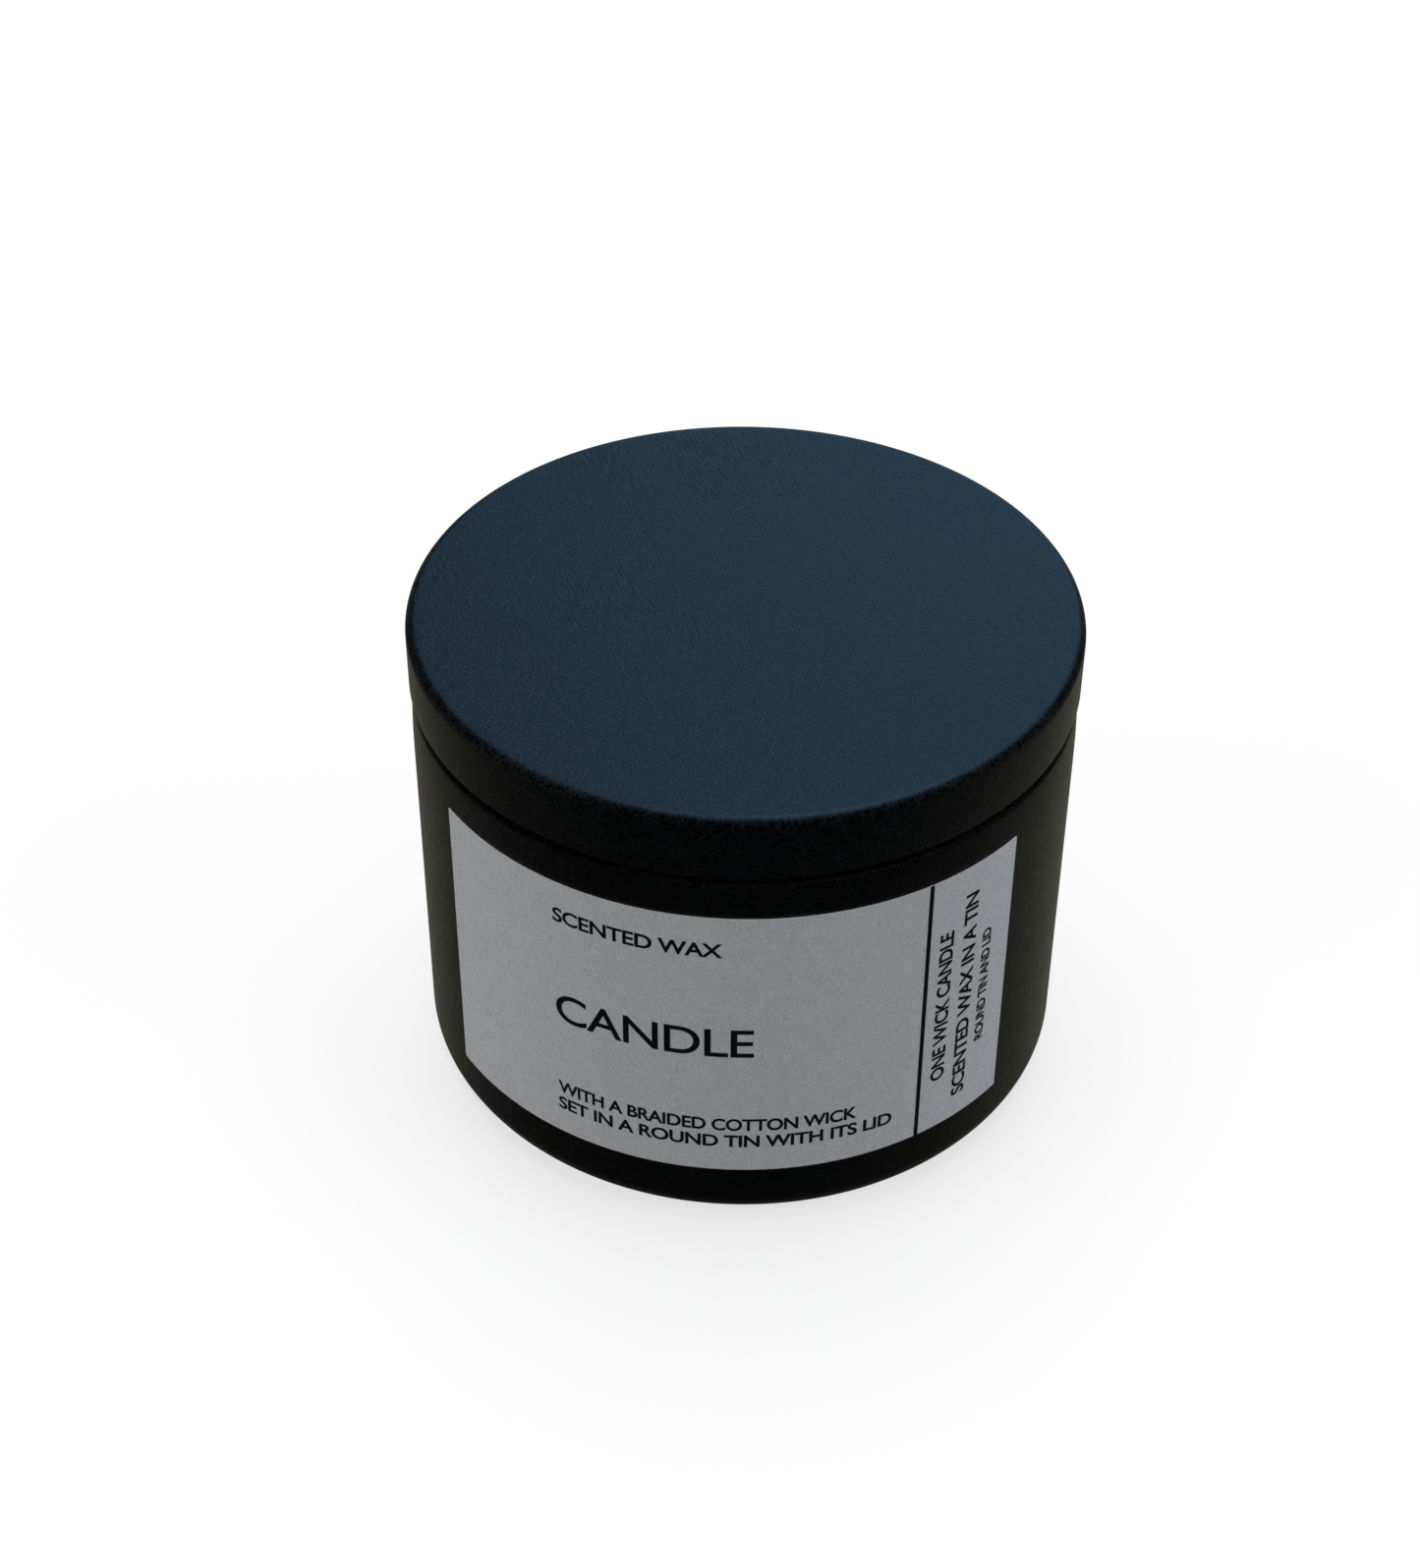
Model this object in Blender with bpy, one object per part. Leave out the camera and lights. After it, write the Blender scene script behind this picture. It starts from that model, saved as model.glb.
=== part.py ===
"""Candle tin: a drawn steel tin with a slip-over lid, a paper label and a poured candle inside.

Metres, +Z up. The origin is the centre of the ring that the tin stands on, and the label's print faces -Y.
"""

from math import cos, hypot, pi, radians, sin

import bmesh
import bpy

# The whole tin
LID_RADIUS = 0.0390
TOTAL_HEIGHT = 0.0610
SHEET = 0.0003  # the steel's thickness
CLEARANCE = 0.0003  # the gap between pieces that touch or slide

# The lid
SKIRT_HEIGHT = 0.0080
LID_EDGE_RADIUS = 0.00125  # of the rounded top edge, on the outside
HEM_RADIUS = 0.0004  # of the skirt's rolled hem, at the middle of the sheet
HEM_SWEEP = 220  # degrees that the hem is rolled inwards

# The tin
BODY_RADIUS = 0.03895
CORNER_RADIUS = 0.0042  # where the wall turns under, on the outside
FOOT_WIDTH = 0.0014  # of the flat ring that it stands on
BASE_RISE = 0.0008  # of the base panel above that ring
BASE_SLOPE = 0.0008  # width of the slope between them
SHOULDER_GAP = 0.0011  # the dark groove between the skirt's lower edge and the shoulder
SHOULDER_RADIUS = 0.0009  # of the shoulder's rounded edge, at the middle of the sheet
NECK_BEND_RADIUS = 0.0004  # of the bend from the shoulder up into the neck, at the middle of the sheet
CURL_RADIUS = 0.0006  # of the rim's roll, at the middle of the sheet
CURL_SWEEP = 270  # degrees that the rim is rolled inwards

# The label
LABEL_START = -57.55  # degrees round from -Y, towards +X
LABEL_END = 51.25
LABEL_BOTTOM = 0.0086
LABEL_HEIGHT = 0.0388
PAPER = 0.0001
LABEL_GAP = 0.0001  # the layer of adhesive

# The candle
WAX_LEVEL = 0.0465
WICK_RADIUS = 0.0011
WICK_ABOVE_WAX = 0.0065
TAB_RADIUS = 0.0100
TAB_SHEET = 0.0003
TAB_COLLAR_WALL = 0.0005
TAB_COLLAR_HEIGHT = 0.0040
STICKER_RADIUS = 0.0095
STICKER_THICKNESS = 0.0006

# Facets
SEGMENTS = 60
WICK_SEGMENTS = 16
CORNER_STEPS = 5
EDGE_STEPS = 4
SHOULDER_STEPS = 3
BEND_STEPS = 2
CURL_STEPS = 7
HEM_STEPS = 6
SHARP_ANGLE = radians(40)
ON_AXIS = 1e-7  # a smaller radius than this is on the axis

# Heights and radii that follow from those above
SKIRT_BOTTOM = TOTAL_HEIGHT - SKIRT_HEIGHT
SHOULDER_TOP = SKIRT_BOTTOM - SHOULDER_GAP
RIM_TOP = TOTAL_HEIGHT - SHEET - CLEARANCE
HEM_WIDTH = 2 * HEM_RADIUS + SHEET
NECK_RADIUS = LID_RADIUS - HEM_WIDTH - CLEARANCE
BASE_TOP = BASE_RISE + SHEET
STICKER_BOTTOM = BASE_TOP + CLEARANCE
TAB_BOTTOM = STICKER_BOTTOM + STICKER_THICKNESS + CLEARANCE
TAB_COLLAR_INNER = WICK_RADIUS + CLEARANCE
TAB_COLLAR_OUTER = TAB_COLLAR_INNER + TAB_COLLAR_WALL


def clear_scene():
    for item in list(bpy.data.objects):
        bpy.data.objects.remove(item, do_unlink=True)


def material(name, colour, roughness, metallic=0.0):
    """A Principled material of one linear colour."""
    made = bpy.data.materials.new(name)
    made.use_nodes = True
    shader = made.node_tree.nodes["Principled BSDF"]
    shader.inputs["Base Color"].default_value = (*colour, 1)
    shader.inputs["Roughness"].default_value = roughness
    shader.inputs["Metallic"].default_value = metallic
    return made


def arc(radius, height, bend, start, end, steps):
    """Points on an arc of radius bend about (radius, height), from start to end in degrees."""
    angles = [radians(start + (end - start) * i / steps) for i in range(steps + 1)]
    return [(radius + bend * cos(a), height + bend * sin(a)) for a in angles]


def moved_sideways(path, distance):
    """The path, a line of (radius, height), moved to the left of its direction and mitred at its corners."""
    normals = []
    for (r0, z0), (r1, z1) in zip(path, path[1:]):
        length = hypot(r1 - r0, z1 - z0)
        normals.append(((z0 - z1) / length, (r1 - r0) / length))
    moved = []
    for i, (r, z) in enumerate(path):
        before = normals[max(i - 1, 0)]
        after = normals[min(i, len(normals) - 1)]
        mitre = (before[0] + after[0], before[1] + after[1])
        share = 2 * distance / (mitre[0] ** 2 + mitre[1] ** 2)
        moved.append((r + mitre[0] * share, z + mitre[1] * share))
    return moved


def sheet_outline(path):
    """The closed outline of a sheet of steel whose middle follows the path."""
    inner = moved_sideways(path, SHEET / 2)
    outer = moved_sideways(path, -SHEET / 2)
    return inner + outer[::-1]


def new_object(name, shape, skin, parent, height):
    """An object from a bmesh, shaded smooth except at its sharp edges, with its origin on the tin's axis."""
    mesh = bpy.data.meshes.new(name)
    shape.to_mesh(mesh)
    shape.free()
    mesh.materials.append(skin)
    mesh.shade_smooth()
    mesh.set_sharp_from_angle(angle=SHARP_ANGLE)
    made = bpy.data.objects.new(name, mesh)
    made.location = (0, 0, height)
    made.parent = parent
    bpy.context.scene.collection.objects.link(made)
    return made


def turned(name, outline, skin, parent, height=0.0, segments=SEGMENTS):
    """A solid turned about Z from a closed outline of (radius, height), which runs down its outer side.

    height is where the object's origin is, so the outline's heights are counted from the scene's origin.
    """
    shape = bmesh.new()
    turns = [2 * pi * i / segments for i in range(segments)]
    rings = []
    for r, z in outline:
        if r < ON_AXIS:
            rings.append([shape.verts.new((0, 0, z - height))] * segments)
        else:
            rings.append([shape.verts.new((r * cos(t), r * sin(t), z - height)) for t in turns])
    for above, below in zip(rings, rings[1:] + rings[:1]):
        for i in range(segments):
            j = (i + 1) % segments
            corners = list(dict.fromkeys((above[i], below[i], below[j], above[j])))
            if len(corners) > 2:
                shape.faces.new(corners)
    return new_object(name, shape, skin, parent, height)


def base_and_wall():
    """The middle of the tin's sheet, from the centre of the base panel to the top of the straight wall."""
    half = SHEET / 2
    foot_outer = BODY_RADIUS - CORNER_RADIUS
    foot_inner = foot_outer - FOOT_WIDTH
    panel = BASE_RISE + half
    path = [(0, panel), (foot_inner - BASE_SLOPE, panel), (foot_inner, half)]
    path += arc(foot_outer, CORNER_RADIUS, CORNER_RADIUS - half, -90, 0, CORNER_STEPS)
    return path


def shoulder_neck_and_rim():
    """The middle of the tin's sheet, from the shoulder under the skirt to the end of the rolled rim."""
    half = SHEET / 2
    wall = BODY_RADIUS - half
    neck = NECK_RADIUS - half
    ledge = SHOULDER_TOP - half
    bend = NECK_BEND_RADIUS
    path = arc(wall - SHOULDER_RADIUS, ledge - SHOULDER_RADIUS, SHOULDER_RADIUS, 0, 90, SHOULDER_STEPS)
    path += arc(neck + bend, ledge + bend, bend, 270, 180, BEND_STEPS)
    curl_height = RIM_TOP - half - CURL_RADIUS
    path += arc(neck - CURL_RADIUS, curl_height, CURL_RADIUS, 0, CURL_SWEEP, CURL_STEPS)
    return path


def build_body(root, paint):
    turned("tin_body", sheet_outline(base_and_wall() + shoulder_neck_and_rim()), paint, root)


def build_lid(lift, paint):
    """The lid, with its origin on the axis that it lifts along, level with the skirt's lower edge."""
    half = SHEET / 2
    skirt = LID_RADIUS - half
    hem_height = SKIRT_BOTTOM + HEM_RADIUS + half
    edge_centre = TOTAL_HEIGHT - LID_EDGE_RADIUS
    path = arc(skirt - HEM_RADIUS, hem_height, HEM_RADIUS, -HEM_SWEEP, 0, HEM_STEPS)
    path += arc(LID_RADIUS - LID_EDGE_RADIUS, edge_centre, LID_EDGE_RADIUS - half, 0, 90, EDGE_STEPS)
    path.append((0, TOTAL_HEIGHT - half))
    turned("tin_lid", sheet_outline(path), paint, lift, SKIRT_BOTTOM)


def build_label(root, paper):
    """A rectangle of paper bent round the wall, with a corner at every facet of the wall."""
    facet = 360 / SEGMENTS
    inside = [i * facet for i in range(-SEGMENTS, SEGMENTS) if LABEL_START < i * facet < LABEL_END]
    inner = BODY_RADIUS + LABEL_GAP
    outer = inner + PAPER
    shape = bmesh.new()
    sections = []
    for angle in [LABEL_START, *inside, LABEL_END]:
        x, y = sin(radians(angle)), -cos(radians(angle))
        corners = [(inner, 0), (outer, 0), (outer, LABEL_HEIGHT), (inner, LABEL_HEIGHT)]
        sections.append([shape.verts.new((r * x, r * y, z)) for r, z in corners])
    for left, right in zip(sections, sections[1:]):
        for i in range(4):
            j = (i + 1) % 4
            shape.faces.new((left[i], right[i], right[j], left[j]))
    shape.faces.new(sections[0])
    shape.faces.new(sections[-1][::-1])
    new_object("front_label", shape, paper, root, LABEL_BOTTOM)


def build_wax(root, wax):
    """The poured wax: it follows the tin's inside, with room for the wick, its tab and the tab's sticker."""
    underside = moved_sideways(base_and_wall(), SHEET / 2 + CLEARANCE)
    wall_radius = underside[-1][0]
    pocket = TAB_RADIUS + CLEARANCE
    pocket_top = TAB_BOTTOM + TAB_SHEET + CLEARANCE
    collar = TAB_COLLAR_OUTER + CLEARANCE
    collar_top = TAB_BOTTOM + TAB_COLLAR_HEIGHT + CLEARANCE
    hole = WICK_RADIUS + CLEARANCE
    outline = [(hole, WAX_LEVEL), (wall_radius, WAX_LEVEL)]
    outline += underside[:0:-1]
    outline += [(pocket, underside[0][1]), (pocket, pocket_top), (collar, pocket_top)]
    outline += [(collar, collar_top), (hole, collar_top)]
    turned("wax_fill", outline, wax, root)


def build_wick(root, cotton):
    top = WAX_LEVEL + WICK_ABOVE_WAX
    outline = [(0, top), (WICK_RADIUS, top), (WICK_RADIUS, TAB_BOTTOM), (0, TAB_BOTTOM)]
    turned("wick", outline, cotton, root, TAB_BOTTOM, WICK_SEGMENTS)


def build_wick_tab(root, tinplate):
    """The pressed disc that holds the wick upright, with the collar that is crimped round it."""
    collar_top = TAB_BOTTOM + TAB_COLLAR_HEIGHT
    disc_top = TAB_BOTTOM + TAB_SHEET
    outline = [(TAB_COLLAR_OUTER, collar_top), (TAB_COLLAR_OUTER, disc_top), (TAB_RADIUS, disc_top)]
    outline += [(TAB_RADIUS, TAB_BOTTOM), (TAB_COLLAR_INNER, TAB_BOTTOM), (TAB_COLLAR_INNER, collar_top)]
    turned("wick_tab", outline, tinplate, root, TAB_BOTTOM)


def build_sticker(root, foam):
    """The foam disc, sticky on both faces, that holds the wick's tab to the base."""
    top = STICKER_BOTTOM + STICKER_THICKNESS
    outline = [(0, top), (STICKER_RADIUS, top), (STICKER_RADIUS, STICKER_BOTTOM), (0, STICKER_BOTTOM)]
    turned("wick_tab_sticker", outline, foam, root, STICKER_BOTTOM)


def empty(name, parent=None):
    made = bpy.data.objects.new(name, None)
    made.parent = parent
    bpy.context.scene.collection.objects.link(made)
    return made


def main():
    clear_scene()
    root = empty("candle_tin")
    lift = empty("lid_lift", root)
    build_body(root, material("black_paint", (0.012, 0.012, 0.013), 0.4))
    build_lid(lift, material("black_lid_paint", (0.012, 0.013, 0.015), 0.38))
    build_label(root, material("label_paper", (0.74, 0.75, 0.77), 0.75))
    build_wax(root, material("soy_wax", (0.83, 0.78, 0.66), 0.5))
    build_wick(root, material("cotton_wick", (0.78, 0.74, 0.64), 0.9))
    build_wick_tab(root, material("tinplate", (0.62, 0.62, 0.61), 0.3, 1.0))
    build_sticker(root, material("sticker_foam", (0.8, 0.8, 0.78), 0.8))


main()
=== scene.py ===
from math import cos, exp, hypot, pi, radians, sin

import bmesh
import bpy
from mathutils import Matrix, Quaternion, Vector, noise


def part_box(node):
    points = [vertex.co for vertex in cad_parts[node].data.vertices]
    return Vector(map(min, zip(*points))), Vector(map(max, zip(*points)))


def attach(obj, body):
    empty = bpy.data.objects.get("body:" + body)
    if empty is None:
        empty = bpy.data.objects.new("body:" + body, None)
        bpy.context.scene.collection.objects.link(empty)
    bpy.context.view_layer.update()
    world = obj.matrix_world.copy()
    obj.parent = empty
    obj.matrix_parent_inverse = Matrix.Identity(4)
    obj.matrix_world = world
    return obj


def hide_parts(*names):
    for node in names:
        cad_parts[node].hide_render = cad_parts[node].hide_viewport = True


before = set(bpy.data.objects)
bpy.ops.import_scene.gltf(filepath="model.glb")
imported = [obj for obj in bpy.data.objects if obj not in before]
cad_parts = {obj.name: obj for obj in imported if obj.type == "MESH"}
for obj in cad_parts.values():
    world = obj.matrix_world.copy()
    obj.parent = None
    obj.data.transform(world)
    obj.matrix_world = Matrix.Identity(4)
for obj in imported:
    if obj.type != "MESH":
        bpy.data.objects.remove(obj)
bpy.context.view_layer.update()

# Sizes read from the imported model
LID_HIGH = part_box("tin_lid")[1]
BODY_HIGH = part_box("tin_body")[1]
LABEL_LOW, LABEL_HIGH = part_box("front_label")
WAX_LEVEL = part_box("wax_fill")[1].z
WICK_LOW, WICK_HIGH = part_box("wick")
LID_RADIUS = LID_HIGH.x
LID_TOP = LID_HIGH.z
BODY_RADIUS = BODY_HIGH.x
RIM_TOP = BODY_HIGH.z
WICK_RADIUS = WICK_HIGH.x

# Sheet metal, in metres; CURL_SWEEP is in degrees
SHEET = 0.0003
CLEARANCE = 0.0003
SKIRT_HEIGHT = 0.0080
EDGE_RADIUS = 0.00125
HEM_RADIUS = 0.0004
HEM_CORNER = 0.00012
CORNER_RADIUS = 0.0042
FOOT_WIDTH = 0.0014
BASE_RISE = 0.0008
BASE_SLOPE = 0.0008
SHOULDER_GAP = 0.0011
SHOULDER_RADIUS = 0.0009
NECK_BEND_RADIUS = 0.0004
WALL_LEAN = 0.0002
LEAN_HEIGHT = 0.0065
CURL_RADIUS = 0.0006
CURL_SWEEP = 300
SKIRT_BOTTOM = LID_TOP - SKIRT_HEIGHT
NECK_RADIUS = LID_RADIUS - 2 * HEM_RADIUS - SHEET - CLEARANCE

# Turned shapes: the faces in a full turn, and the radius below which a point lies on the axis
ROUND_STEPS = 288
ON_AXIS = 1e-7

# The label: its ends in degrees round from -Y towards +X, then metres; its print is set out in millimetres
LABEL_START = -57.55
LABEL_END = 51.25
LABEL_HEIGHT = LABEL_HIGH.z - LABEL_LOW.z
PAPER_RADIUS = BODY_RADIUS + 0.00012
PAPER_THICKNESS = 0.0001
PAPER_CORNER = 0.00015
INK_THICKNESS = 0.00002
MM = 0.001

# The paint's relief is calm on the lid's round edge, within CALM_EDGE of its side and top, so that the
# bright line along the edge stays even; it returns over the two fades
CALM_EDGE = 0.0013
CALM_INWARD_FADE = 0.0011
CALM_DOWNWARD_FADE = 0.0009

# Degrees about Z from the front-to-back line to the lid's rolling marks
ROLLED_TURN = -19

# The wax: how far it is drawn up at the wall and at the wick, and over what distance that fades
WALL_CLIMB = 0.0007
WALL_CLIMB_FADE = 0.0009
WICK_CLIMB = 0.0009
WICK_CLIMB_FADE = 0.0012
WAX_RINGS = 64
WAX_ROUND_STEPS = 192
UNDER_WAX = 0.001
# Drifts in its surface: how many to a metre, and their height; they fade out over WAX_CALM from the wall
WAX_CALM = 0.002
WAX_DRIFTS = ((90, 0.00022), (260, 0.00008))

# The wick's braid, in metres. CORE_SHARE is of the wick's radius, and WICK_LEAN is how far the tip leans for
# each metre that it stands above the wax
STRANDS = 8
STRAND_RADIUS = 0.00034
STRAND_INSET = 0.00008
STRAND_POINTS = 120
STRAND_SCATTER = 0.0003
BRAID_PITCH = 0.0046
BRAID_WEAVE = 0.00011
CORE_SHARE = 0.62
CORE_STEPS = 24
BRAID_DEPTH = 0.0006
TIP_ROOM = 0.0004
WICK_LEAN = Vector((0.09, 0.05, 0))


# ---------------------------------------------------------------- nodes

def node(tree, kind, inputs=None, **settings):
    """A new node with its settings made and its inputs set to values or linked to sockets."""
    made = tree.nodes.new(kind)
    for name, value in settings.items():
        setattr(made, name, value)
    for name, value in (inputs or {}).items():
        if isinstance(value, bpy.types.NodeSocket):
            tree.links.new(value, made.inputs[name])
        else:
            made.inputs[name].default_value = value
    return made


def new_material(name, **constants):
    """A Principled material, its tree and its shader node, with the shader's constant sockets set."""
    made = bpy.data.materials.new(name)
    made.use_nodes = True
    shader = made.node_tree.nodes["Principled BSDF"]
    for socket, value in constants.items():
        shader.inputs[socket.replace("_", " ")].default_value = value
    return made, made.node_tree, shader


def place(tree, turn=0.0, stretch=(1, 1, 1), tip=0.0):
    """Object coordinates, tipped about X and Y and turned about Z, in degrees, and then stretched."""
    coords = node(tree, "ShaderNodeTexCoord").outputs["Object"]
    angles = (radians(tip), radians(tip), radians(turn))
    turned_by = node(tree, "ShaderNodeMapping", {"Vector": coords, "Rotation": angles})
    return node(tree, "ShaderNodeMapping", {"Vector": turned_by.outputs[0], "Scale": stretch}).outputs[0]


def noise_of(tree, where, scale, detail=2.0, rough=0.5):
    """A noise value from 0 to 1 whose features are 1 / scale metres across."""
    inputs = {"Vector": where, "Scale": scale, "Detail": detail, "Roughness": rough}
    return node(tree, "ShaderNodeTexNoise", inputs).outputs["Fac"]


def spread(tree, value, low, high, to_low, to_high):
    """value moved smoothly from the range low..high to the range to_low..to_high, and kept inside it."""
    inputs = {"Value": value, "From Min": low, "From Max": high, "To Min": to_low, "To Max": to_high}
    return node(tree, "ShaderNodeMapRange", inputs, interpolation_type="SMOOTHSTEP").outputs["Result"]


def maths(tree, operation, first, second=0.0):
    made = node(tree, "ShaderNodeMath", {0: first, 1: second}, operation=operation)
    return made.outputs[0]


def product(tree, first, *others):
    for other in others:
        first = maths(tree, "MULTIPLY", first, other)
    return first


def in_band(tree, value, low, rise, fall, high):
    """1 for a value between rise and fall, fading to 0 at low and at high."""
    return product(tree, spread(tree, value, low, rise, 0, 1), spread(tree, value, fall, high, 1, 0))


def parts_of(tree, vector):
    return node(tree, "ShaderNodeSeparateXYZ", {0: vector}).outputs


def mixed(tree, factor, first, second):
    """The colour between first and second."""
    made = node(tree, "ShaderNodeMix", data_type="RGBA")
    for index, value in ((0, factor), (6, first), (7, second)):
        if isinstance(value, bpy.types.NodeSocket):
            tree.links.new(value, made.inputs[index])
        elif index == 0:
            made.inputs[index].default_value = value
        else:
            made.inputs[index].default_value = (*value, 1)
    return made.outputs[2]


def scaled(tree, colour, share):
    made = node(tree, "ShaderNodeVectorMath", {0: colour, "Scale": share}, operation="SCALE")
    return made.outputs["Vector"]


def bumped(tree, height, distance, strength=1.0, under=None):
    """A normal from a height, on top of another normal."""
    inputs = {"Height": height, "Distance": distance, "Strength": strength}
    if under is not None:
        inputs["Normal"] = under
    return node(tree, "ShaderNodeBump", inputs).outputs["Normal"]


# ---------------------------------------------------------------- materials

def rolling_marks_and_painted_streaks(tree, where):
    """Relief along the way that the lid's sheet was rolled, in patches that are stronger at the back;
    through the paint's colour it is also painted highlight, lighter streaks strongest at the back.
    """
    marks = noise_of(tree, place(tree, ROLLED_TURN, (1, 0.14, 1)), 3000, 2, 0.5)
    patches = spread(tree, noise_of(tree, place(tree, ROLLED_TURN, (1, 0.5, 1)), 75, 3), 0.42, 0.66, 0, 1)
    # The marks are made stronger at the back, both as relief and as painted highlight in the paint's colour
    relief_and_highlight_behind = spread(tree, parts_of(tree, where)["Y"], -0.03, 0.03, 0.25, 1)
    return product(tree, maths(tree, "SUBTRACT", marks, 0.5), product(tree, patches, relief_and_highlight_behind))


def round_edge(tree, where):
    """1 on the lid's round edge, fading to 0 on its top and its skirt."""
    x, y, z = parts_of(tree, where)
    reach = maths(tree, "SQRT", maths(tree, "ADD", product(tree, x, x), product(tree, y, y)))
    side = LID_RADIUS - CALM_EDGE
    top = LID_TOP - CALM_EDGE
    outward = spread(tree, reach, side - CALM_INWARD_FADE, side, 0, 1)
    return product(tree, outward, spread(tree, z, top - CALM_DOWNWARD_FADE, top, 0, 1))


def paint_material(name, colour, streaked):
    """Satin black paint with a fine grain; on the lid, rolling marks show through it as relief and as
    painted highlight streaks in its colour, stronger at the back.
    """
    made, tree, shader = new_material(name, IOR=1.5)
    where = place(tree)
    # The grain is turned off the axes, so that no rows of its noise line up with a flat face
    grain = noise_of(tree, place(tree, 33, tip=38), 3300, 1.5, 0.6)
    swell = noise_of(tree, where, 1100, 2)
    height = maths(tree, "ADD", product(tree, grain, 0.75), product(tree, swell, 0.25))
    if streaked:
        height = maths(tree, "ADD", height, rolling_marks_and_painted_streaks(tree, where))
    # The tin's rolled rim lies inside the lid's edge, so it is calmed a little too
    calm = spread(tree, round_edge(tree, where), 0, 1, 1, 0.25)
    relief = product(tree, maths(tree, "SUBTRACT", height, 0.5), calm)
    # The colour follows the height: random tone from the grain, and on the lid painted highlight streaks
    # from the rolling marks
    shade = spread(tree, height, 0.38, 0.62, 0, 1)
    darker = [c * 0.02 for c in colour]
    lighter = [c * 2.1 for c in colour]
    tree.links.new(mixed(tree, shade, darker, lighter), shader.inputs["Base Color"])
    tree.links.new(spread(tree, swell, 0.3, 0.7, 0.34, 0.40), shader.inputs["Roughness"])
    tree.links.new(bumped(tree, relief, 0.0001), shader.inputs["Normal"])
    return made


def tinplate_material(name):
    """Bare tinplate on the inside of the sheet, drawn round the axis, with a pale lacquer."""
    made, tree, shader = new_material(name, Metallic=1.0)
    where = place(tree)
    cloud = noise_of(tree, where, 90, 4, 0.6)
    drawn = noise_of(tree, place(tree, 0, (1, 1, 14)), 700, 3, 0.6)
    tree.links.new(mixed(tree, cloud, (0.62, 0.61, 0.58), (0.78, 0.77, 0.74)), shader.inputs["Base Color"])
    tree.links.new(spread(tree, cloud, 0.3, 0.7, 0.24, 0.4), shader.inputs["Roughness"])
    tree.links.new(bumped(tree, drawn, 0.000012), shader.inputs["Normal"])
    return made


def paper_material(name):
    """Matte label paper: a fine tooth, short fibres and a very faint mottle."""
    made, tree, shader = new_material(name, Sheen_Weight=0.05, Sheen_Roughness=0.5)
    where = place(tree)
    tooth = noise_of(tree, where, 3400, 2, 0.6)
    mottle = noise_of(tree, where, 700, 3)
    fibre = noise_of(tree, place(tree, 0, (1, 1, 0.35)), 3800, 4, 0.7)
    shade = maths(tree, "ADD", product(tree, tooth, 0.8), product(tree, mottle, 0.2))
    shade = spread(tree, shade, 0.3, 0.7, 0, 1)
    colour = mixed(tree, shade, (0.607, 0.619, 0.637), (0.783, 0.795, 0.813))
    tree.links.new(colour, shader.inputs["Base Color"])
    tree.links.new(spread(tree, mottle, 0.3, 0.7, 0.72, 0.86), shader.inputs["Roughness"])
    tree.links.new(bumped(tree, fibre, 0.00001, 0.8), shader.inputs["Normal"])
    return made


def ink_material(name):
    """Printed black, a little thin in fine specks."""
    made, tree, shader = new_material(name, Specular_IOR_Level=0.3)
    cover = noise_of(tree, place(tree), 4200, 3, 0.6)
    thin = spread(tree, cover, 0.5, 0.8, 0, 1)
    colour = mixed(tree, thin, (0.006, 0.006, 0.009), (0.016, 0.016, 0.020))
    tree.links.new(colour, shader.inputs["Base Color"])
    tree.links.new(spread(tree, cover, 0.3, 0.7, 0.55, 0.75), shader.inputs["Roughness"])
    tree.links.new(bumped(tree, cover, 0.000006, 0.6), shader.inputs["Normal"])
    return made


def wax_material(name):
    """Soy wax: creamy, translucent, with paler frosting in drifts and a soft sheen."""
    made, tree, shader = new_material(name, IOR=1.44, Subsurface_Weight=0.6, Subsurface_Scale=0.003)
    shader.inputs["Subsurface Radius"].default_value = (1.0, 0.75, 0.45)
    where = place(tree)
    drift = noise_of(tree, where, 160, 5, 0.6)
    crystal = noise_of(tree, where, 1500, 4, 0.65)
    frost = product(tree, spread(tree, drift, 0.46, 0.68, 0, 1), spread(tree, crystal, 0.3, 0.7, 0.4, 1))
    tree.links.new(mixed(tree, frost, (0.80, 0.72, 0.56), (0.90, 0.86, 0.76)), shader.inputs["Base Color"])
    tree.links.new(spread(tree, frost, 0, 1, 0.32, 0.6), shader.inputs["Roughness"])
    normal = bumped(tree, drift, 0.00025, 0.5)
    tree.links.new(bumped(tree, crystal, 0.00003, 0.7, normal), shader.inputs["Normal"])
    return made


def cotton_material(name):
    """Waxed cotton thread: fine fibres along the strands."""
    made, tree, shader = new_material(name, Sheen_Weight=0.25, Sheen_Roughness=0.4)
    fibre = noise_of(tree, place(tree, 0, (1, 1, 0.3)), 5200, 4, 0.7)
    patch = noise_of(tree, place(tree), 700, 3)
    tree.links.new(mixed(tree, patch, (0.84, 0.76, 0.60), (0.94, 0.89, 0.76)), shader.inputs["Base Color"])
    tree.links.new(spread(tree, patch, 0.3, 0.7, 0.45, 0.75), shader.inputs["Roughness"])
    tree.links.new(bumped(tree, fibre, 0.00004, 0.9), shader.inputs["Normal"])
    return made


def foam_material(name):
    """Closed-cell foam of the wick tab's sticker."""
    made, tree, shader = new_material(name)
    cells = node(tree, "ShaderNodeTexVoronoi", {"Vector": place(tree), "Scale": 1800.0}).outputs["Distance"]
    tree.links.new(mixed(tree, cells, (0.62, 0.62, 0.60), (0.82, 0.82, 0.80)), shader.inputs["Base Color"])
    tree.links.new(spread(tree, cells, 0, 0.6, 0.7, 0.9), shader.inputs["Roughness"])
    tree.links.new(bumped(tree, cells, 0.00008, 0.8), shader.inputs["Normal"])
    return made


# ---------------------------------------------------------------- mesh helpers

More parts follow.
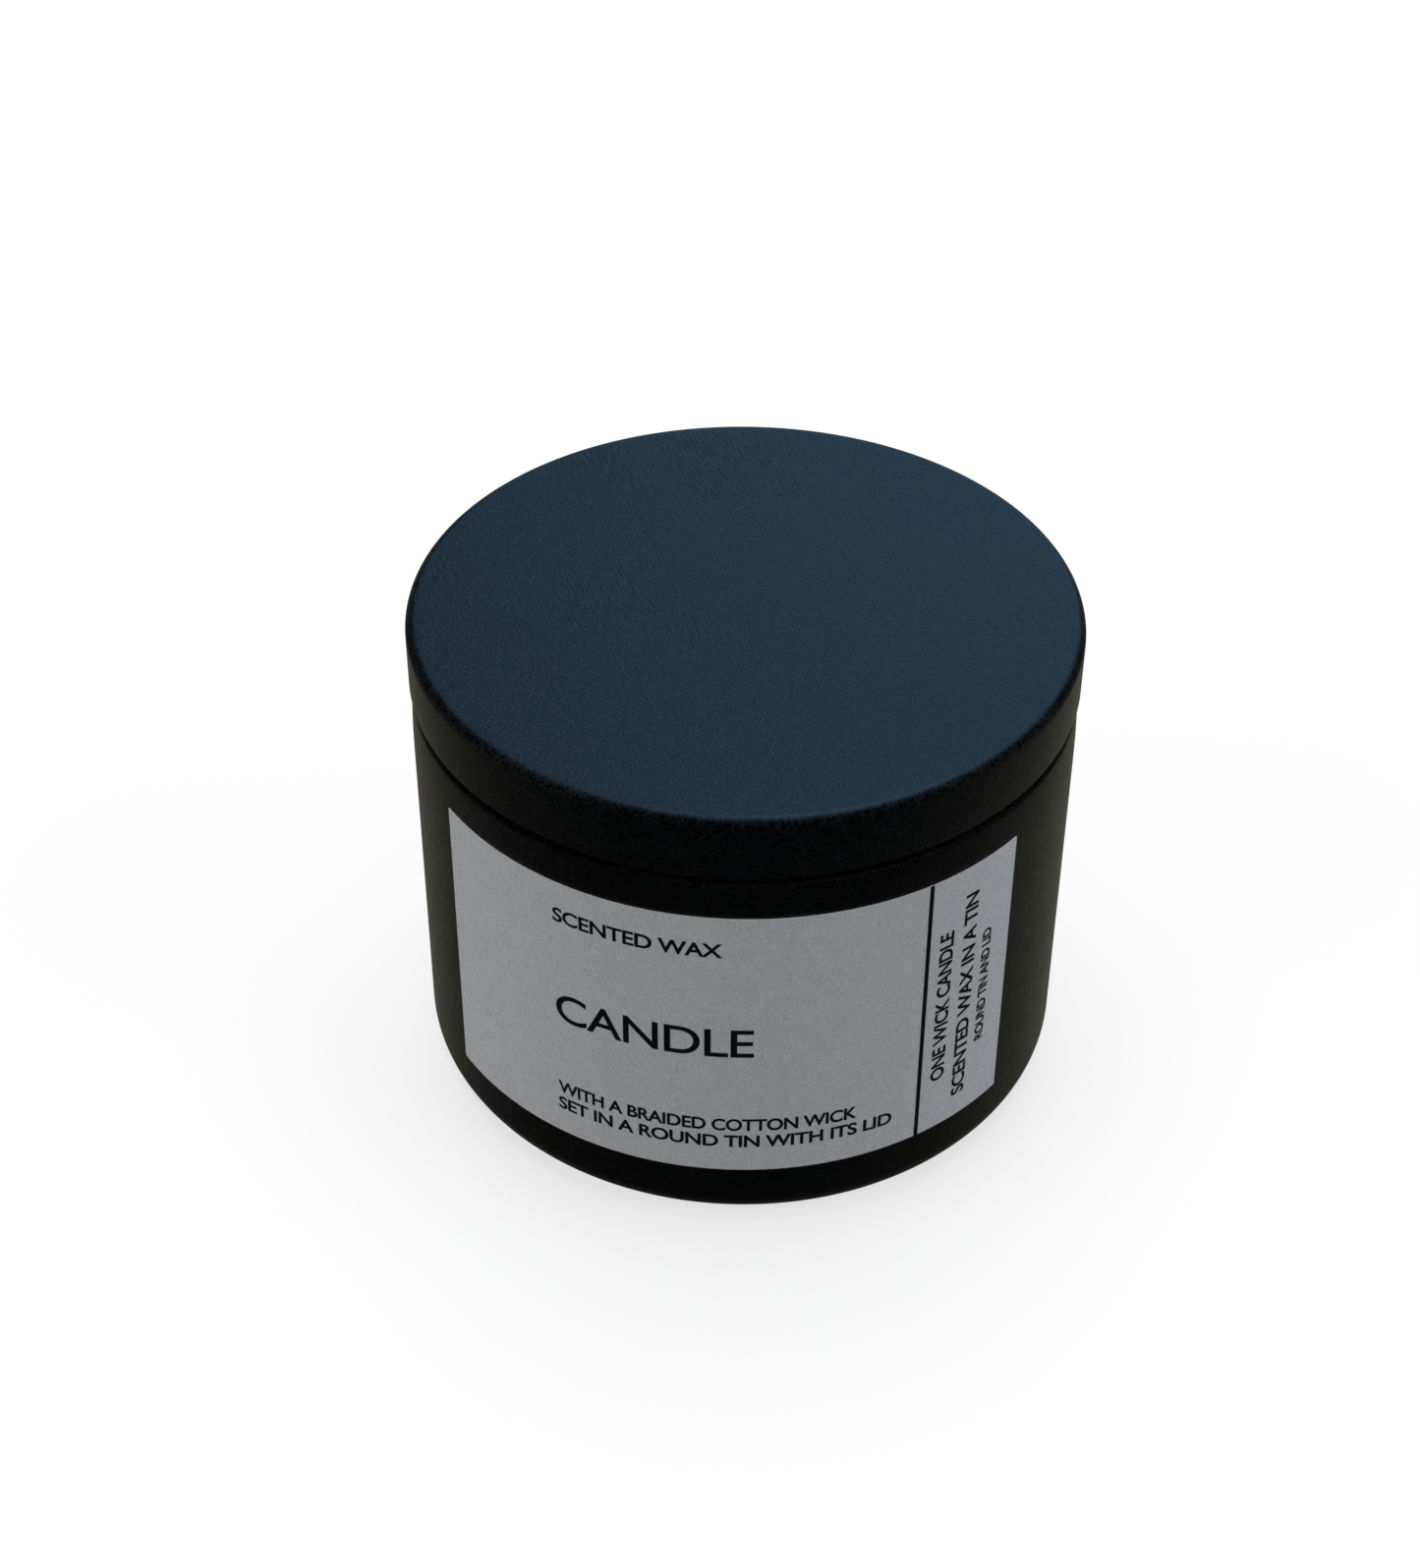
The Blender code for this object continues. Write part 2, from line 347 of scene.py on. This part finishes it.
def arc(radius, height, bend, start, end, steps):
    """Points on an arc of radius bend about (radius, height), from start to end in degrees."""
    angles = [radians(start + (end - start) * i / steps) for i in range(steps + 1)]
    return [(radius + bend * cos(a), height + bend * sin(a)) for a in angles]


def moved_sideways(path, distance):
    """A line of (radius, height), moved to the left of its direction and mitred at its corners."""
    normals = []
    for (r0, z0), (r1, z1) in zip(path, path[1:]):
        length = hypot(r1 - r0, z1 - z0)
        normals.append(((z0 - z1) / length, (r1 - r0) / length))
    moved = []
    for i, (r, z) in enumerate(path):
        before = normals[max(i - 1, 0)]
        after = normals[min(i, len(normals) - 1)]
        mitre = (before[0] + after[0], before[1] + after[1])
        share = 2 * distance / (mitre[0] ** 2 + mitre[1] ** 2)
        moved.append((r + mitre[0] * share, z + mitre[1] * share))
    return moved


def add_object(name, shape, materials, sharp=35):
    """An object from a bmesh, shaded smooth except at edges sharper than sharp degrees."""
    mesh = bpy.data.meshes.new(name)
    shape.to_mesh(mesh)
    shape.free()
    for material in materials:
        mesh.materials.append(material)
    mesh.shade_smooth()
    mesh.set_sharp_from_angle(angle=radians(sharp))
    made = bpy.data.objects.new(name, mesh)
    bpy.context.scene.collection.objects.link(made)
    return made


def turned(shape, outline, slots=None, steps=ROUND_STEPS):
    """Turns a closed outline of (radius, height), which runs down its outer side, about Z into shape."""
    turns = [2 * pi * i / steps for i in range(steps)]
    rings = []
    for r, z in outline:
        if r < ON_AXIS:
            rings.append([shape.verts.new((0, 0, z))] * steps)
        else:
            rings.append([shape.verts.new((r * cos(t), r * sin(t), z)) for t in turns])
    for k, (above, below) in enumerate(zip(rings, rings[1:] + rings[:1])):
        for i in range(steps):
            j = (i + 1) % steps
            corners = list(dict.fromkeys((above[i], below[i], below[j], above[j])))
            if len(corners) > 2:
                face = shape.faces.new(corners)
                face.material_index = slots[k] if slots else 0


def turned_sheet(name, path, outside, inside):
    """A turned steel sheet whose middle follows the path, painted outside and bare inside."""
    inner = moved_sideways(path, SHEET / 2)
    outer = moved_sideways(path, -SHEET / 2)
    slots = [1] * (len(inner) - 1) + [0] * (len(outer) + 1)
    shape = bmesh.new()
    turned(shape, inner + outer[::-1], slots)
    return add_object(name, shape, [outside, inside])


def between(path, longest):
    """The path with points added so that no step is longer than longest."""
    filled = [path[0]]
    for (r0, z0), (r1, z1) in zip(path, path[1:]):
        parts = max(1, round(hypot(r1 - r0, z1 - z0) / longest))
        filled += [(r0 + (r1 - r0) * i / parts, z0 + (z1 - z0) * i / parts) for i in range(1, parts + 1)]
    return filled


# ---------------------------------------------------------------- the tin and its lid

def tin_path():
    """The middle of the tin's sheet, from the centre of its base to the end of its rolled rim."""
    half = SHEET / 2
    wall = BODY_RADIUS - half
    neck = NECK_RADIUS - half
    foot_outer = BODY_RADIUS - CORNER_RADIUS
    foot_inner = foot_outer - FOOT_WIDTH
    ledge = SKIRT_BOTTOM - SHOULDER_GAP - half
    bend = NECK_BEND_RADIUS
    panel = BASE_RISE + half
    # The slope down from the base panel is eased at each end
    ease = 0.0004
    in_slope = ease * 0.4
    off_level = ease * 0.25
    path = [(0, panel), (foot_inner - BASE_SLOPE - ease, panel)]
    path += [(foot_inner - BASE_SLOPE + in_slope, panel - off_level)]
    path += [(foot_inner - in_slope, half + off_level), (foot_inner + ease, half)]
    path += arc(foot_outer, CORNER_RADIUS, CORNER_RADIUS - half, -90, 0, 20)
    shoulder = SHOULDER_RADIUS - WALL_LEAN
    shoulder_start = ledge - shoulder
    for part in (0, 0.25, 0.5, 0.75):
        path.append((wall - WALL_LEAN * part ** 2, shoulder_start + (part - 1) * LEAN_HEIGHT))
    # The arc starts 3 degrees in, where the leaning wall has come in to meet it
    path += arc(wall - SHOULDER_RADIUS, shoulder_start, shoulder, 3, 90, 12)
    path += arc(neck + bend, ledge + bend, bend, 270, 180, 8)
    path += arc(neck - CURL_RADIUS, RIM_TOP - half - CURL_RADIUS, CURL_RADIUS, 0, CURL_SWEEP, 26)
    return path


def lid_path():
    """The middle of the lid's sheet, from the end of its folded hem to the centre of its top."""
    half = SHEET / 2
    skirt = LID_RADIUS - half
    fold = skirt - 2 * HEM_RADIUS
    foot = SKIRT_BOTTOM + half
    path = arc(fold + HEM_RADIUS, foot + 3 * HEM_RADIUS, HEM_RADIUS, 140, 180, 6)
    path += arc(fold + HEM_RADIUS, foot + HEM_RADIUS, HEM_RADIUS, 180, 270, 8)
    path += arc(skirt - HEM_CORNER, foot + HEM_CORNER, HEM_CORNER, -90, 0, 6)
    path += arc(LID_RADIUS - EDGE_RADIUS, LID_TOP - EDGE_RADIUS, EDGE_RADIUS - half, 0, 90, 14)
    path.append((0, LID_TOP - half))
    return path


def build_tin(paint, tinplate):
    shell = turned_sheet("tin_shell", between(tin_path(), longest=0.004), paint, tinplate)
    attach(shell, "tin")
    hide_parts("tin_body")


def build_lid(paint, tinplate):
    shell = turned_sheet("lid_shell", between(lid_path(), longest=0.003), paint, tinplate)
    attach(shell, "lid")
    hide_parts("tin_lid")


# ---------------------------------------------------------------- the label

def wrapped(shape):
    """Bends a flat shape round the tin: x runs along the label, y up it, and z out from the paper's face."""
    for vert in shape.verts:
        angle = radians(LABEL_START) + vert.co.x / PAPER_RADIUS
        reach = PAPER_RADIUS + vert.co.z
        vert.co = (reach * sin(angle), -reach * cos(angle), LABEL_LOW.z + vert.co.y)


def cut_upright(shape, step):
    """Cuts a flat shape by upright lines, so that it can be bent smoothly."""
    first = min(vert.co.x for vert in shape.verts)
    last = max(vert.co.x for vert in shape.verts)
    cuts = int((last - first) / step)
    for i in range(1, cuts + 1):
        parts = shape.verts[:] + shape.edges[:] + shape.faces[:]
        where = first + (last - first) * i / (cuts + 1)
        bmesh.ops.bisect_plane(shape, geom=parts, plane_co=(where, 0, 0), plane_no=(1, 0, 0), dist=1e-7)


def flat_slab(corners, low, high):
    """A flat shape from its outline of (x, y), with a thickness from low to high."""
    shape = bmesh.new()
    bottom = shape.faces.new([shape.verts.new((x, y, low)) for x, y in corners])
    raised = bmesh.ops.extrude_face_region(shape, geom=[bottom])["geom"]
    for item in raised:
        if isinstance(item, bmesh.types.BMVert):
            item.co.z = high
    bmesh.ops.recalc_face_normals(shape, faces=shape.faces)
    return shape


def rounded_rectangle(width, height, bend):
    corners = []
    centres = ((width - bend, height - bend), (bend, height - bend), (bend, bend), (width - bend, bend))
    for quarter, (x, y) in enumerate(centres):
        corners += arc(x, y, bend, 90 * quarter, 90 * (quarter + 1), 6)
    return corners


def build_label(paper):
    width = radians(LABEL_END - LABEL_START) * PAPER_RADIUS
    shape = flat_slab(rounded_rectangle(width, LABEL_HEIGHT, PAPER_CORNER), -PAPER_THICKNESS, 0)
    cut_upright(shape, 0.0008)
    wrapped(shape)
    sheet = add_object("label_sheet", shape, [paper])
    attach(sheet, "tin")
    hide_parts("front_label")


# Each line of print: words, x and y of its start, its length, the height of its capitals, and how much its
# strokes are thickened; all in millimetres on the flat label, except the last, in parts of the letter size
FACE_LINES = (
    ("SCENTED WAX", 17.4, 33.1, 19.9, 2.07, 0.023),
    ("CANDLE", 17.4, 18.1, 23.5, 4.3, 0.009),
    ("WITH A BRAIDED COTTON WICK", 17.25, 6.4, 35.9, 1.95, 0.026),
    ("SET IN A ROUND TIN WITH ITS LID", 17.25, 3.75, 40.4, 1.95, 0.026),
)
SIDE_LINES = (
    ("ONE WICK CANDLE", 64.75, 7.65, 23.0, 2.0, 0.026),
    ("SCENTED WAX IN A TIN", 68.2, 3.4, 31.4, 2.05, 0.026),
    ("ROUND TIN AND LID", 70.85, 10.35, 17.4, 1.5, 0.033),
)
# The upright rule's middle and its width, in the same millimetres
RULE_X = 61.15
RULE_WIDTH = 0.55


def letters(words, thicker):
    """The words as a flat bmesh with a thickness of 1, its lower left corner at the origin."""
    curve = bpy.data.curves.new("words", "FONT")
    curve.body = words
    curve.space_character = 0.95
    curve.offset = thicker
    curve.extrude = 0.5
    curve.resolution_u = 8
    text = bpy.data.objects.new("words", curve)
    bpy.context.scene.collection.objects.link(text)
    graph = bpy.context.evaluated_depsgraph_get()
    mesh = bpy.data.meshes.new_from_object(text.evaluated_get(graph))
    shape = bmesh.new()
    shape.from_mesh(mesh)
    bpy.data.objects.remove(text)
    bpy.data.curves.remove(curve)
    bpy.data.meshes.remove(mesh)
    bmesh.ops.remove_doubles(shape, verts=shape.verts, dist=1e-5)
    left = min(vert.co.x for vert in shape.verts)
    foot = min(vert.co.y for vert in shape.verts)
    bmesh.ops.translate(shape, verts=shape.verts, vec=(-left, -foot, -0.5))
    return shape


def printed_line(words, x, y, length, capitals, thicker, upright):
    """One line of print on the flat label; an upright line reads from the foot to the top."""
    shape = letters(words, thicker)
    across = length * MM / max(vert.co.x for vert in shape.verts)
    tall = capitals * MM / max(vert.co.y for vert in shape.verts)
    for vert in shape.verts:
        along = vert.co.x * across
        up = vert.co.y * tall
        depth = vert.co.z * INK_THICKNESS + INK_THICKNESS / 2
        if upright:
            vert.co = (x * MM - up, y * MM + along, depth)
        else:
            vert.co = (x * MM + along, y * MM + up, depth)
    cut_upright(shape, 0.0006)
    wrapped(shape)
    return shape


def build_print(ink):
    """The label's print as one piece: lines of words and the upright rule."""
    whole = bmesh.new()
    lines = [printed_line(*line, upright=False) for line in FACE_LINES]
    lines += [printed_line(*line, upright=True) for line in SIDE_LINES]
    left = (RULE_X - RULE_WIDTH / 2) * MM
    right = (RULE_X + RULE_WIDTH / 2) * MM
    corners = [(left, 0), (right, 0), (right, LABEL_HEIGHT), (left, LABEL_HEIGHT)]
    rule = flat_slab(corners, 0, INK_THICKNESS)
    wrapped(rule)
    for shape in [*lines, rule]:
        mesh = bpy.data.meshes.new("line")
        shape.to_mesh(mesh)
        shape.free()
        whole.from_mesh(mesh)
        bpy.data.meshes.remove(mesh)
    printed = add_object("label_print", whole, [ink])
    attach(printed, "tin")


# ---------------------------------------------------------------- the candle

def build_wax(wax):
    """The poured wax, level but for drifts in its surface, drawn up a little at the wall and the wick."""
    wall = BODY_RADIUS - SHEET
    half = SHEET / 2
    foot_outer = BODY_RADIUS - CORNER_RADIUS
    foot_inner = foot_outer - FOOT_WIDTH
    floor = [(0, BASE_RISE + half), (foot_inner - BASE_SLOPE, BASE_RISE + half), (foot_inner, half)]
    floor += arc(foot_outer, CORNER_RADIUS, CORNER_RADIUS - half, -90, 0, 12)
    floor = moved_sideways(floor, half)
    top = []
    for i in range(WAX_RINGS + 1):
        # The rings lie a little closer together towards the wall
        r = wall * (i / WAX_RINGS) ** 0.9
        climb = WALL_CLIMB * exp((r - wall) / WALL_CLIMB_FADE)
        climb += WICK_CLIMB * exp((WICK_RADIUS - r) / WICK_CLIMB_FADE)
        top.append((r, WAX_LEVEL + climb))
    shape = bmesh.new()
    turned(shape, top + floor[::-1], steps=WAX_ROUND_STEPS)
    for vert in shape.verts:
        if vert.co.z > WAX_LEVEL - UNDER_WAX:
            reach = hypot(vert.co.x, vert.co.y)
            share = min(1.0, max(0.0, (wall - reach) / WAX_CALM))
            drift = sum(noise.noise(vert.co * many) * height for many, height in WAX_DRIFTS)
            vert.co.z += drift * share
    fill = add_object("wax_pour", shape, [wax])
    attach(fill, "tin")
    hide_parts("wax_fill")


def tube(shape, points, radius, sides):
    """A closed tube along points, added to shape."""
    rings = []
    for i, point in enumerate(points):
        ahead = points[min(i + 1, len(points) - 1)] - points[max(i - 1, 0)]
        turn = Vector((0, 0, 1)).rotation_difference(ahead.normalized())
        ring = []
        for k in range(sides):
            angle = 2 * pi * k / sides
            ring.append(shape.verts.new(point + turn @ Vector((cos(angle), sin(angle), 0)) * radius))
        rings.append(ring)
    for lower, upper in zip(rings, rings[1:]):
        for k in range(sides):
            j = (k + 1) % sides
            shape.faces.new((lower[k], lower[j], upper[j], upper[k]))
    shape.faces.new(rings[0][::-1])
    shape.faces.new(rings[-1])


def lean(height):
    """How far the wick's middle stands from the axis at a height: it leans a little above the wax."""
    free = max(0.0, height - WAX_LEVEL)
    return WICK_LEAN * free * (free / (WICK_HIGH.z - WAX_LEVEL))


def build_wick(cotton):
    """A round braid of eight strands about a core; below the wax only the core is left."""
    shape = bmesh.new()
    top = WICK_HIGH.z - TIP_ROOM
    heights = [WAX_LEVEL + (top - WAX_LEVEL) * i / CORE_STEPS for i in range(CORE_STEPS + 1)]
    core = [Vector((0, 0, WICK_LOW.z)), Vector((0, 0, WAX_LEVEL - UNDER_WAX))]
    core += [Vector((0, 0, z)) + lean(z) for z in heights]
    tube(shape, core, WICK_RADIUS * CORE_SHARE, 16)
    low = WAX_LEVEL - BRAID_DEPTH
    for s in range(STRANDS):
        # Half of the strands run one way round and half the other
        way = 1 if s % 2 else -1
        start = 2 * pi * (s // 2) / (STRANDS // 2) + (pi / 8 if way > 0 else 0)
        # The ends are cut a little unevenly
        end = top + STRAND_SCATTER * noise.noise(Vector((s * 1.7, 0.3, 0.9)))
        points = []
        for i in range(STRAND_POINTS + 1):
            z = low + (end - low) * i / STRAND_POINTS
            angle = start + way * 2 * pi * (z - low) / BRAID_PITCH
            weave = way * sin(2 * angle * STRANDS / 4) * BRAID_WEAVE
            reach = WICK_RADIUS - STRAND_RADIUS - STRAND_INSET + weave
            points.append(Vector((reach * cos(angle), reach * sin(angle), z)) + lean(z))
        tube(shape, points, STRAND_RADIUS, 8)
    wick = add_object("wick_braid", shape, [cotton], 60)
    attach(wick, "tin")
    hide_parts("wick")


def finish_hidden_nodes(tinplate, foam):
    """The wick's tab and its sticker, under the wax, keep the CAD's shapes and get these materials."""
    for name, material in (("wick_tab", tinplate), ("wick_tab_sticker", foam)):
        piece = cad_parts[name]
        for place_in_mesh in piece.material_slots:
            place_in_mesh.material = material


# ---------------------------------------------------------------- stage, light and camera

def emission(tree, colour):
    glow = node(tree, "ShaderNodeEmission", {"Color": colour})
    tree.links.new(glow.outputs[0], tree.nodes["Material Output"].inputs["Surface"])


def dome(name, radius, material, seen_by):
    """A sphere round the scene that only camera rays or only glossy rays see."""
    shape = bmesh.new()
    bmesh.ops.create_uvsphere(shape, u_segments=64, v_segments=32, radius=radius)
    made = add_object(name, shape, [material], 180)
    for ray in ("camera", "diffuse", "glossy", "transmission", "volume_scatter", "shadow"):
        setattr(made, "visible_" + ray, ray == seen_by)


def room_light(tree, x, y, z):
    """A dim room, warm behind and cool in front, with a soft glow low behind the tin and beside it."""
    room = product(tree, maths(tree, "EXPONENT", product(tree, y, 2.1)), 0.069)
    room = product(tree, room, spread(tree, x, -0.7, 0.7, 0.95, 1.05))
    room = product(tree, room, spread(tree, z, -0.8, -0.1, 1.16, 0.06))
    room = product(tree, room, spread(tree, z, -1.0, -0.78, 0.55, 1))
    room = product(tree, room, spread(tree, z, -0.72, -0.66, 0.9, 1))
    left = product(tree, spread(tree, x, -0.6, -0.5, 1, 0.25), spread(tree, z, -0.73, -0.67, 1, 0.3))
    room = product(tree, room, spread(tree, left, 0, 1, 1, 0.3))
    right = product(tree, spread(tree, x, 0.45, 0.6, 0, 1), spread(tree, z, -0.64, -0.57, 0, 1))
    right = product(tree, right, spread(tree, y, 0.2, 0.5, 1, 0.3))
    room = product(tree, room, spread(tree, right, 0, 1, 1, 0.5))
    behind = spread(tree, y, 0.72, 1, 0, 0.34)
    beside = spread(tree, maths(tree, "ABSOLUTE", x), 0.8, 0.98, 0, 0.12)
    glow = product(tree, maths(tree, "ADD", behind, beside), in_band(tree, z, -0.46, -0.28, -0.1, 0.06))
    shade = mixed(tree, spread(tree, y, -0.8, 0, 0, 1), (0.85, 1.0, 1.1), (1.0, 1.0, 0.78))
    return scaled(tree, shade, maths(tree, "ADD", room, glow))


def softbox_light(tree, x, y, z):
    """A cool softbox high behind the tin; it reaches forward over it, and is brightest overhead."""
    across = in_band(tree, x, -0.44, 0.06, 0.32, 0.72)
    upward = spread(tree, z, sin(radians(2)), sin(radians(20)), 0, 1.35)
    forward = product(tree, spread(tree, y, -0.05, 0.2, 0.5, 1), spread(tree, y, -0.58, -0.14, 0, 1))
    panel = product(tree, across, upward, forward)
    panel = product(tree, panel, spread(tree, z, 0.45, 0.68, 1, 0.72))
    panel = product(tree, panel, spread(tree, z, 0.72, 0.94, 1, 3.0))
    return scaled(tree, (0.205, 0.45, 0.74), panel)


def surroundings_material():
    """What the gloss reflects: x, y and z are the direction it looks in, so each runs from -1 to 1."""
    made = bpy.data.materials.new("surroundings")
    made.use_nodes = True
    made.cycles.emission_sampling = "NONE"
    tree = made.node_tree
    coords = node(tree, "ShaderNodeTexCoord").outputs["Object"]
    towards = node(tree, "ShaderNodeVectorMath", {0: coords}, operation="NORMALIZE").outputs["Vector"]
    x, y, z = parts_of(tree, towards)
    lights = {0: room_light(tree, x, y, z), 1: softbox_light(tree, x, y, z)}
    emission(tree, node(tree, "ShaderNodeVectorMath", lights).outputs["Vector"])
    return made


# In metres, far larger than the tin; the floor lies just under the foot, so that they share no plane
FLOOR_RADIUS = 6
BACKDROP_RADIUS = 5.9
SURROUNDINGS_RADIUS = 5.0
FLOOR_DROP = 0.00002


def build_stage():
    settings = {"Roughness": 0.9, "Specular_IOR_Level": 0.0, "Emission_Strength": 0.68}
    floor_material, tree, shader = new_material("floor", Emission_Color=(1, 1, 1, 1), **settings)
    shade = noise_of(tree, place(tree), 3, 3)
    tree.links.new(mixed(tree, shade, (0.31, 0.31, 0.31), (0.33, 0.33, 0.33)), shader.inputs["Base Color"])
    shape = bmesh.new()
    bmesh.ops.create_circle(shape, cap_ends=True, segments=96, radius=FLOOR_RADIUS)
    floor = add_object("floor", shape, [floor_material])
    floor.location.z = -FLOOR_DROP
    floor.visible_glossy = False
    floor.visible_diffuse = False
    backdrop = bpy.data.materials.new("backdrop")
    backdrop.use_nodes = True
    backdrop.cycles.emission_sampling = "NONE"
    emission(backdrop.node_tree, (1, 1, 1, 1))
    dome("backdrop", BACKDROP_RADIUS, backdrop, "camera")
    dome("surroundings", SURROUNDINGS_RADIUS, surroundings_material(), "glossy")


def direction(azimuth, elevation):
    """The way from the tin to a place, in degrees: azimuth 0 is in front of the label, and 90 is +X."""
    a = radians(azimuth)
    e = radians(elevation)
    return Vector((sin(a) * cos(e), -cos(a) * cos(e), sin(e)))


def sun(name, azimuth, elevation, strength, width, colour=(1, 1, 1)):
    """A soft light from far off, which glossy rays do not see; width is its size in degrees."""
    light = bpy.data.lights.new(name, "SUN")
    light.energy = strength
    light.angle = radians(width)
    light.color = colour
    made = bpy.data.objects.new(name, light)
    made.rotation_mode = "QUATERNION"
    made.rotation_quaternion = direction(azimuth, elevation).to_track_quat("Z", "Y")
    made.visible_glossy = False
    bpy.context.scene.collection.objects.link(made)


def build_lights():
    world = bpy.data.worlds.new("world")
    world.use_nodes = True
    world.node_tree.nodes["Background"].inputs["Color"].default_value = (0, 0, 0, 1)
    bpy.context.scene.world = world
    bpy.context.scene.view_settings.view_transform = "Standard"
    sun("key", 180, 68, 2.5, 60)
    sun("left_fill", -65, 25, 1.2, 50, (0.99, 1.0, 1.0))
    sun("right_fill", 76, 25, 1.28, 50, (0.96, 0.99, 1.03))
    sun("front_fill", 0, 25, 0.25, 50)


# The camera, set so that the picture frames the tin as the photograph does: metres, degrees round from -Y
# and up from level, and the lens in millimetres on a sensor SENSOR_WIDTH wide
CAMERA_AIM = Vector((-0.00398, 0, 0.03427))
CAMERA_DISTANCE = 0.34117
CAMERA_AZIMUTH = 0.862
CAMERA_ELEVATION = 39.176
CAMERA_ROLL = 0.272
LENS = 64.894
SENSOR_WIDTH = 36


def build_camera():
    camera = bpy.data.cameras.new("camera")
    camera.lens = LENS
    camera.sensor_width = SENSOR_WIDTH
    camera.clip_start = 0.01
    made = bpy.data.objects.new("camera", camera)
    back = direction(CAMERA_AZIMUTH, CAMERA_ELEVATION)
    made.location = CAMERA_AIM + back * CAMERA_DISTANCE
    made.rotation_mode = "QUATERNION"
    made.rotation_quaternion = Quaternion(back, radians(CAMERA_ROLL)) @ (-back).to_track_quat("-Z", "Y")
    bpy.context.scene.collection.objects.link(made)
    bpy.context.scene.camera = made


# ---------------------------------------------------------------- all of it

build_camera()
build_lights()
build_stage()

tinplate = tinplate_material("tinplate")
build_tin(paint_material("tin_paint", (0.0030, 0.0032, 0.0032), False), tinplate)
build_lid(paint_material("lid_paint", (0.0034, 0.0040, 0.0046), True), tinplate)
build_label(paper_material("label_paper"))
build_print(ink_material("label_ink"))
build_wax(wax_material("soy_wax"))
build_wick(cotton_material("cotton_wick"))
finish_hidden_nodes(tinplate, foam_material("sticker_foam"))

bpy.context.view_layer.update()
